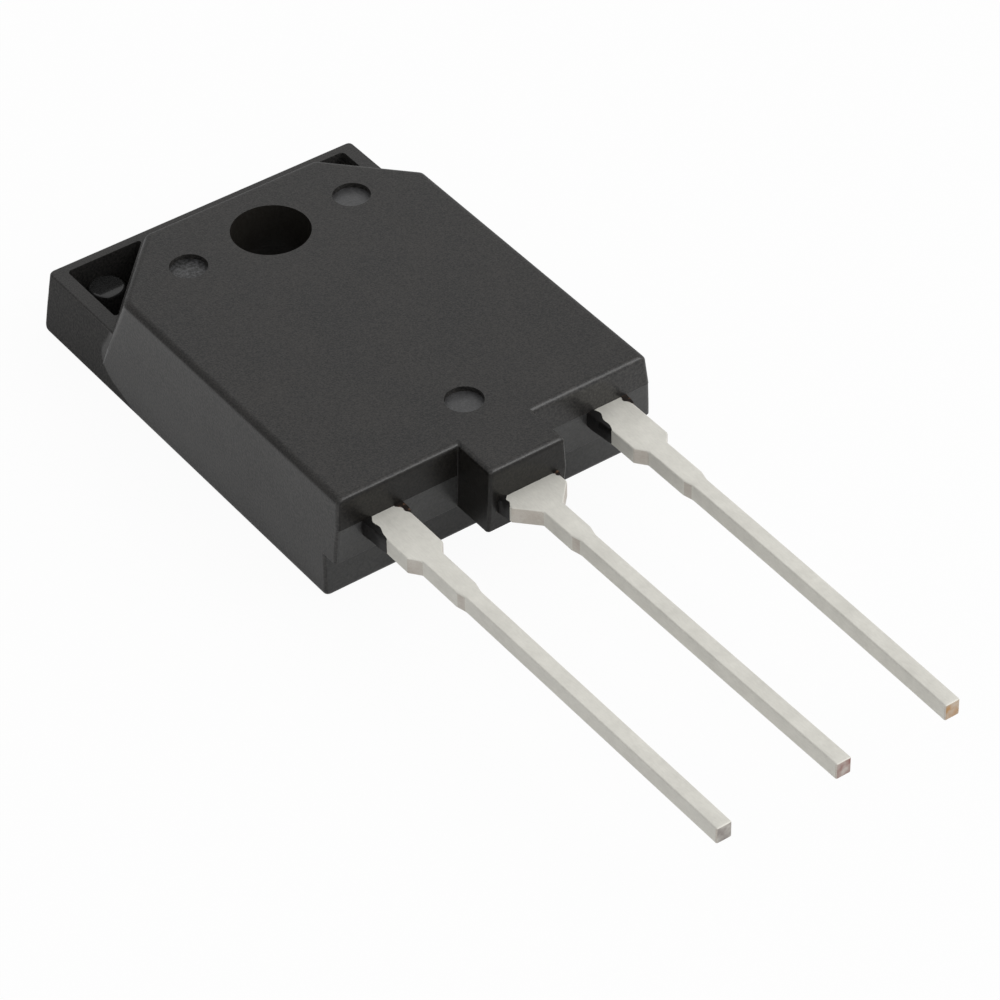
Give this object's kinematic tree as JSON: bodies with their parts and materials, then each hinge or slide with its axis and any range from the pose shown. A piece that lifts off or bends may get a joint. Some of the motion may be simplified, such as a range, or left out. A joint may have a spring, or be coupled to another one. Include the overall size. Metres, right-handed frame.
{
  "type": "power transistor",
  "caption": "Fully moulded power transistor: drafted black resin housing with a mounting hole, corner pockets and flat stepped leads in a row.",
  "frame": {"origin": "on the mounting hole's axis, at the back face that goes against a heatsink", "axes": "+Z out of the front face along the mounting hole, +Y from the leads towards the hole end, +X across the leads"},
  "size_m": [0.0154, 0.0437, 0.0055],
  "materials": {
    "resin": "matt moulded face, semi-gloss drafted walls",
    "tinned_copper": "satin tin plating",
    "silicon": "polished",
    "solder": "satin",
    "wire_aluminium": "satin"
  },
  "bodies": {
    "root": {"moulded_body": "resin", "centre_lead": "tinned_copper", "left_lead": "tinned_copper", "right_lead": "tinned_copper", "silicon_die": "silicon", "die_solder": "solder", "left_bond_wire": "wire_aluminium", "right_bond_wire": "wire_aluminium"}
  },
  "joints": []
}
